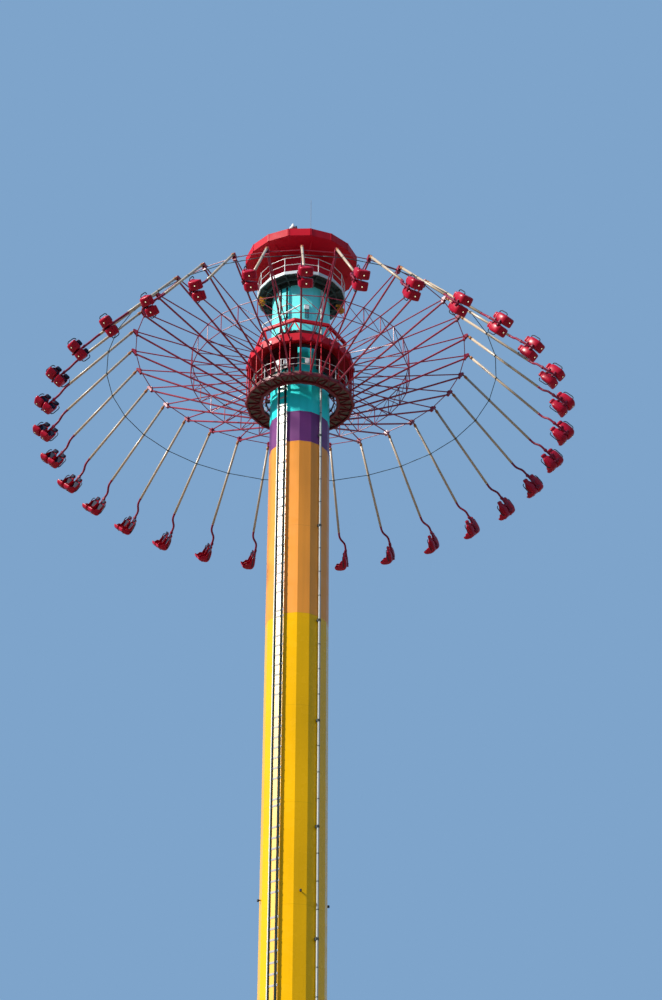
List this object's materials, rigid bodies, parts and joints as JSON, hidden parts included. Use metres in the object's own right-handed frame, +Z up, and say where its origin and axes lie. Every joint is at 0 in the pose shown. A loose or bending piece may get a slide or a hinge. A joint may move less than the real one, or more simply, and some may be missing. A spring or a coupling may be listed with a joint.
{
  "type": "tower swing ride, 1:10 scale model",
  "caption": "Scale model of a tower swing ride: a spinning round platform with rods and double seats climbs a tall faceted mast under a roofed service head.",
  "frame": {"origin": "centre of the base flange's underside", "axes": "+Z up the mast, -Y towards the picture's camera"},
  "size_m": [3.4107, 3.4114, 9.57],
  "materials": {
    "base_steel": "grey paint, satin",
    "mast_yellow": "yellow paint, satin",
    "mast_orange": "orange paint, satin",
    "mast_purple": "purple paint, satin",
    "mast_teal": "turquoise paint, satin",
    "rail_steel": "dark greased rail steel",
    "white_paint": "white paint, satin",
    "pipe_grey": "pale grey galvanised",
    "lamp_grey": "grey lamp housing",
    "dark_steel": "dark grey-green paint",
    "deck_grey": "pale grey paint",
    "sheave_orange": "orange paint, worn groove",
    "dark_red": "dark red paint",
    "red_paint": "gloss red paint",
    "roller_rubber": "black roller tread",
    "cable_steel": "dark sheathed cable",
    "seat_red": "glossy red moulding"
  },
  "bodies": {
    "mast": {"base_flange": "base_steel", "mast_yellow": "mast_yellow", "mast_orange": "mast_orange", "mast_purple": "mast_purple", "mast_teal": "mast_teal", "guide_rails": "rail_steel", "rail_brackets": "white_paint", "service_pipe": "pipe_grey", "mast_lamps": "lamp_grey", "platform_beams": "dark_steel", "platform_deck": "deck_grey", "platform_railing": "white_paint", "hoist_sheaves": "sheave_orange", "head_core": "dark_red", "roof_soffit": "dark_red", "roof_cap": "red_paint", "roof_fittings": "white_paint"},
    "carriage": {"carriage_frame": "red_paint", "guide_rollers": "roller_rubber"},
    "rotor": {"rotor_deck": "dark_red", "rotor_cage": "red_paint", "rotor_railing": "white_paint", "top_ring": "red_paint", "arms_front": "red_paint", "arms_right": "red_paint", "arms_back": "red_paint", "arms_left": "red_paint", "link_cable": "cable_steel"},
    "hanger_1": {"swing_1": "seat_red"},
    "hanger_2": {"swing_2": "seat_red"},
    "hanger_3": {"swing_3": "seat_red"},
    "hanger_4": {"swing_4": "seat_red"},
    "hanger_5": {"swing_5": "seat_red"},
    "hanger_6": {"swing_6": "seat_red"},
    "hanger_7": {"swing_7": "seat_red"},
    "hanger_8": {"swing_8": "seat_red"},
    "hanger_9": {"swing_9": "seat_red"},
    "hanger_10": {"swing_10": "seat_red"},
    "hanger_11": {"swing_11": "seat_red"},
    "hanger_12": {"swing_12": "seat_red"},
    "hanger_13": {"swing_13": "seat_red"},
    "hanger_14": {"swing_14": "seat_red"},
    "hanger_15": {"swing_15": "seat_red"},
    "hanger_16": {"swing_16": "seat_red"},
    "hanger_17": {"swing_17": "seat_red"},
    "hanger_18": {"swing_18": "seat_red"},
    "hanger_19": {"swing_19": "seat_red"},
    "hanger_20": {"swing_20": "seat_red"},
    "hanger_21": {"swing_21": "seat_red"},
    "hanger_22": {"swing_22": "seat_red"},
    "hanger_23": {"swing_23": "seat_red"},
    "hanger_24": {"swing_24": "seat_red"},
    "hanger_25": {"swing_25": "seat_red"},
    "hanger_26": {"swing_26": "seat_red"},
    "hanger_27": {"swing_27": "seat_red"},
    "hanger_28": {"swing_28": "seat_red"},
    "hanger_29": {"swing_29": "seat_red"},
    "hanger_30": {"swing_30": "seat_red"},
    "hanger_31": {"swing_31": "seat_red"},
    "hanger_32": {"swing_32": "seat_red"}
  },
  "joints": [
    {"name": "lift", "type": "slide", "parent": "mast", "child": "carriage", "axis": [0, 0, 1], "range_m": [-7.54, 0.15]},
    {"name": "spin", "type": "hinge", "parent": "carriage", "child": "rotor", "pos_m": [0, 0, 8.2], "axis": [0, 0, 1], "continuous": true},
    {"name": "flare_1", "type": "hinge", "parent": "rotor", "child": "hanger_1", "pos_m": [0, -1.08, 8.463], "axis": [-1, 0, 0], "range_deg": [-39.31, 5], "deforming": ["link_cable"]},
    {"name": "flare_2", "type": "hinge", "parent": "rotor", "child": "hanger_2", "pos_m": [0.2107, -1.05925, 8.463], "axis": [-0.9808, -0.1951, 0], "range_deg": [-39.95, 5.08]},
    {"name": "flare_3", "type": "hinge", "parent": "rotor", "child": "hanger_3", "pos_m": [0.4133, -0.99779, 8.463], "axis": [-0.9239, -0.3827, 0], "range_deg": [-40.65, 5.17]},
    {"name": "flare_4", "type": "hinge", "parent": "rotor", "child": "hanger_4", "pos_m": [0.60002, -0.89799, 8.463], "axis": [-0.8315, -0.5556, 0], "range_deg": [-41.38, 5.26]},
    {"name": "flare_5", "type": "hinge", "parent": "rotor", "child": "hanger_5", "pos_m": [0.76367, -0.76367, 8.463], "axis": [-0.7071, -0.7071, 0], "range_deg": [-42.12, 5.36]},
    {"name": "flare_6", "type": "hinge", "parent": "rotor", "child": "hanger_6", "pos_m": [0.89799, -0.60002, 8.463], "axis": [-0.5556, -0.8315, 0], "range_deg": [-42.85, 5.45]},
    {"name": "flare_7", "type": "hinge", "parent": "rotor", "child": "hanger_7", "pos_m": [0.99779, -0.4133, 8.463], "axis": [-0.3827, -0.9239, 0], "range_deg": [-43.52, 5.54]},
    {"name": "flare_8", "type": "hinge", "parent": "rotor", "child": "hanger_8", "pos_m": [1.05925, -0.2107, 8.463], "axis": [-0.1951, -0.9808, 0], "range_deg": [-44.13, 5.61]},
    {"name": "flare_9", "type": "hinge", "parent": "rotor", "child": "hanger_9", "pos_m": [1.08, 0, 8.463], "axis": [0, -1, 0], "range_deg": [-44.63, 5.68]},
    {"name": "flare_10", "type": "hinge", "parent": "rotor", "child": "hanger_10", "pos_m": [1.05925, 0.2107, 8.463], "axis": [0.1951, -0.9808, 0], "range_deg": [-45.02, 5.73]},
    {"name": "flare_11", "type": "hinge", "parent": "rotor", "child": "hanger_11", "pos_m": [0.99779, 0.4133, 8.463], "axis": [0.3827, -0.9239, 0], "range_deg": [-45.28, 5.76]},
    {"name": "flare_12", "type": "hinge", "parent": "rotor", "child": "hanger_12", "pos_m": [0.89799, 0.60002, 8.463], "axis": [0.5556, -0.8315, 0], "range_deg": [-45.39, 5.77]},
    {"name": "flare_13", "type": "hinge", "parent": "rotor", "child": "hanger_13", "pos_m": [0.76367, 0.76367, 8.463], "axis": [0.7071, -0.7071, 0], "range_deg": [-45.36, 5.77]},
    {"name": "flare_14", "type": "hinge", "parent": "rotor", "child": "hanger_14", "pos_m": [0.60002, 0.89799, 8.463], "axis": [0.8315, -0.5556, 0], "range_deg": [-45.18, 5.75]},
    {"name": "flare_15", "type": "hinge", "parent": "rotor", "child": "hanger_15", "pos_m": [0.4133, 0.99779, 8.463], "axis": [0.9239, -0.3827, 0], "range_deg": [-44.87, 5.71]},
    {"name": "flare_16", "type": "hinge", "parent": "rotor", "child": "hanger_16", "pos_m": [0.2107, 1.05925, 8.463], "axis": [0.9808, -0.1951, 0], "range_deg": [-44.43, 5.65]},
    {"name": "flare_17", "type": "hinge", "parent": "rotor", "child": "hanger_17", "pos_m": [0, 1.08, 8.463], "axis": [1, 0, 0], "range_deg": [-43.88, 5.58]},
    {"name": "flare_18", "type": "hinge", "parent": "rotor", "child": "hanger_18", "pos_m": [-0.2107, 1.05925, 8.463], "axis": [0.9808, 0.1951, 0], "range_deg": [-43.25, 5.5]},
    {"name": "flare_19", "type": "hinge", "parent": "rotor", "child": "hanger_19", "pos_m": [-0.4133, 0.99779, 8.463], "axis": [0.9239, 0.3827, 0], "range_deg": [-42.55, 5.41]},
    {"name": "flare_20", "type": "hinge", "parent": "rotor", "child": "hanger_20", "pos_m": [-0.60002, 0.89799, 8.463], "axis": [0.8315, 0.5556, 0], "range_deg": [-41.81, 5.32]},
    {"name": "flare_21", "type": "hinge", "parent": "rotor", "child": "hanger_21", "pos_m": [-0.76367, 0.76367, 8.463], "axis": [0.7071, 0.7071, 0], "range_deg": [-41.07, 5.22]},
    {"name": "flare_22", "type": "hinge", "parent": "rotor", "child": "hanger_22", "pos_m": [-0.89799, 0.60002, 8.463], "axis": [0.5556, 0.8315, 0], "range_deg": [-40.34, 5.13]},
    {"name": "flare_23", "type": "hinge", "parent": "rotor", "child": "hanger_23", "pos_m": [-0.99779, 0.4133, 8.463], "axis": [0.3827, 0.9239, 0], "range_deg": [-39.67, 5.05]},
    {"name": "flare_24", "type": "hinge", "parent": "rotor", "child": "hanger_24", "pos_m": [-1.05925, 0.2107, 8.463], "axis": [0.1951, 0.9808, 0], "range_deg": [-39.07, 4.97]},
    {"name": "flare_25", "type": "hinge", "parent": "rotor", "child": "hanger_25", "pos_m": [-1.08, 0, 8.463], "axis": [0, 1, 0], "range_deg": [-38.56, 4.91]},
    {"name": "flare_26", "type": "hinge", "parent": "rotor", "child": "hanger_26", "pos_m": [-1.05925, -0.2107, 8.463], "axis": [-0.1951, 0.9808, 0], "range_deg": [-38.17, 4.86]},
    {"name": "flare_27", "type": "hinge", "parent": "rotor", "child": "hanger_27", "pos_m": [-0.99779, -0.4133, 8.463], "axis": [-0.3827, 0.9239, 0], "range_deg": [-37.92, 4.82]},
    {"name": "flare_28", "type": "hinge", "parent": "rotor", "child": "hanger_28", "pos_m": [-0.89799, -0.60002, 8.463], "axis": [-0.5556, 0.8315, 0], "range_deg": [-37.8, 4.81]},
    {"name": "flare_29", "type": "hinge", "parent": "rotor", "child": "hanger_29", "pos_m": [-0.76367, -0.76367, 8.463], "axis": [-0.7071, 0.7071, 0], "range_deg": [-37.84, 4.81]},
    {"name": "flare_30", "type": "hinge", "parent": "rotor", "child": "hanger_30", "pos_m": [-0.60002, -0.89799, 8.463], "axis": [-0.8315, 0.5556, 0], "range_deg": [-38.01, 4.83]},
    {"name": "flare_31", "type": "hinge", "parent": "rotor", "child": "hanger_31", "pos_m": [-0.4133, -0.99779, 8.463], "axis": [-0.9239, 0.3827, 0], "range_deg": [-38.32, 4.87]},
    {"name": "flare_32", "type": "hinge", "parent": "rotor", "child": "hanger_32", "pos_m": [-0.2107, -1.05925, 8.463], "axis": [-0.9808, 0.1951, 0], "range_deg": [-38.76, 4.93]}
  ],
  "couplings": [
    {"joint": "flare_2", "follows": "flare_1", "ratio": 1.0162},
    {"joint": "flare_3", "follows": "flare_1", "ratio": 1.034},
    {"joint": "flare_4", "follows": "flare_1", "ratio": 1.0527},
    {"joint": "flare_5", "follows": "flare_1", "ratio": 1.0716},
    {"joint": "flare_6", "follows": "flare_1", "ratio": 1.09},
    {"joint": "flare_7", "follows": "flare_1", "ratio": 1.1072},
    {"joint": "flare_8", "follows": "flare_1", "ratio": 1.1225},
    {"joint": "flare_9", "follows": "flare_1", "ratio": 1.1354},
    {"joint": "flare_10", "follows": "flare_1", "ratio": 1.1452},
    {"joint": "flare_11", "follows": "flare_1", "ratio": 1.1518},
    {"joint": "flare_12", "follows": "flare_1", "ratio": 1.1547},
    {"joint": "flare_13", "follows": "flare_1", "ratio": 1.1539},
    {"joint": "flare_14", "follows": "flare_1", "ratio": 1.1494},
    {"joint": "flare_15", "follows": "flare_1", "ratio": 1.1415},
    {"joint": "flare_16", "follows": "flare_1", "ratio": 1.1303},
    {"joint": "flare_17", "follows": "flare_1", "ratio": 1.1163},
    {"joint": "flare_18", "follows": "flare_1", "ratio": 1.1002},
    {"joint": "flare_19", "follows": "flare_1", "ratio": 1.0824},
    {"joint": "flare_20", "follows": "flare_1", "ratio": 1.0637},
    {"joint": "flare_21", "follows": "flare_1", "ratio": 1.0447},
    {"joint": "flare_22", "follows": "flare_1", "ratio": 1.0263},
    {"joint": "flare_23", "follows": "flare_1", "ratio": 1.0091},
    {"joint": "flare_24", "follows": "flare_1", "ratio": 0.9938},
    {"joint": "flare_25", "follows": "flare_1", "ratio": 0.981},
    {"joint": "flare_26", "follows": "flare_1", "ratio": 0.9711},
    {"joint": "flare_27", "follows": "flare_1", "ratio": 0.9646},
    {"joint": "flare_28", "follows": "flare_1", "ratio": 0.9617},
    {"joint": "flare_29", "follows": "flare_1", "ratio": 0.9625},
    {"joint": "flare_30", "follows": "flare_1", "ratio": 0.9669},
    {"joint": "flare_31", "follows": "flare_1", "ratio": 0.9749},
    {"joint": "flare_32", "follows": "flare_1", "ratio": 0.9861}
  ]
}
